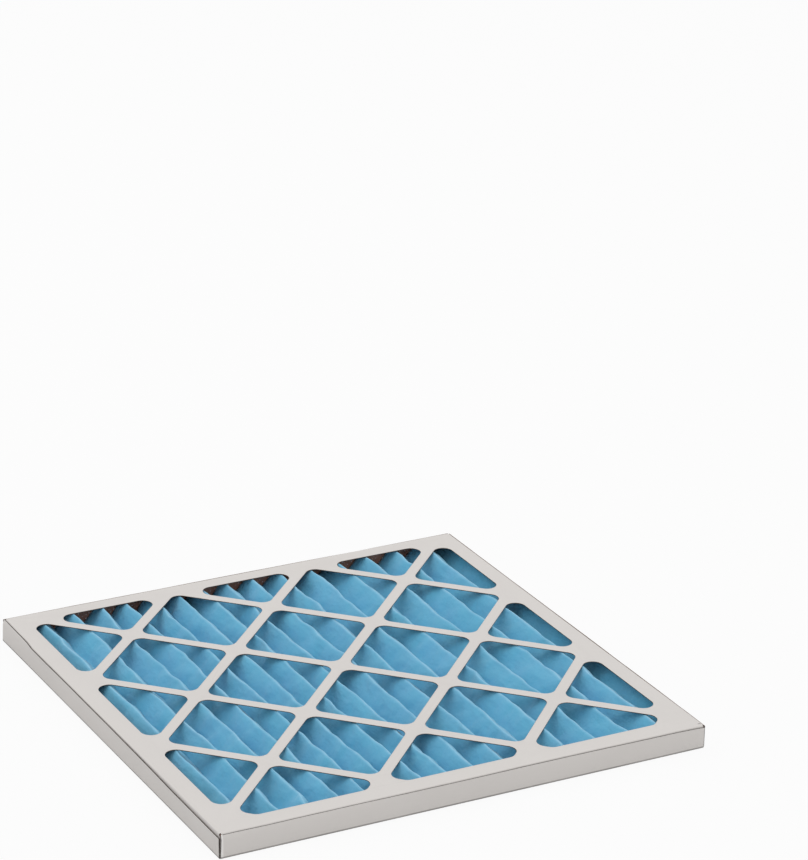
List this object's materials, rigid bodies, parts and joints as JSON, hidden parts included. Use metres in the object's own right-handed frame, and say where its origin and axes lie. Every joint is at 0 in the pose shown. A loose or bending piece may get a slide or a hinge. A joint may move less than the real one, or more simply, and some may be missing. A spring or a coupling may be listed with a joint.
{
  "type": "pleated panel air filter",
  "caption": "Square panel air filter: pleated blue media on a wire support grid, held between two nested folded board trays with a diagonal lattice over each face.",
  "frame": {"origin": "centre of the lower (air-leaving) face, on which the panel lies", "axes": "+X across the pleats, +Y along the pleats, +Z towards the face that the air enters"},
  "size_m": [0.495, 0.495, 0.023],
  "materials": {
    "board": "matt coated board",
    "media": "needled synthetic fibre",
    "grid": "galvanised",
    "adhesive": "dried adhesive"
  },
  "bodies": {
    "root": {"air_exit_tray": "board", "air_entry_tray": "board", "pleated_media": "media", "support_grid": "grid", "seal_bead_left": "adhesive", "seal_bead_right": "adhesive", "seal_bead_front": "adhesive", "seal_bead_back": "adhesive"}
  },
  "joints": []
}
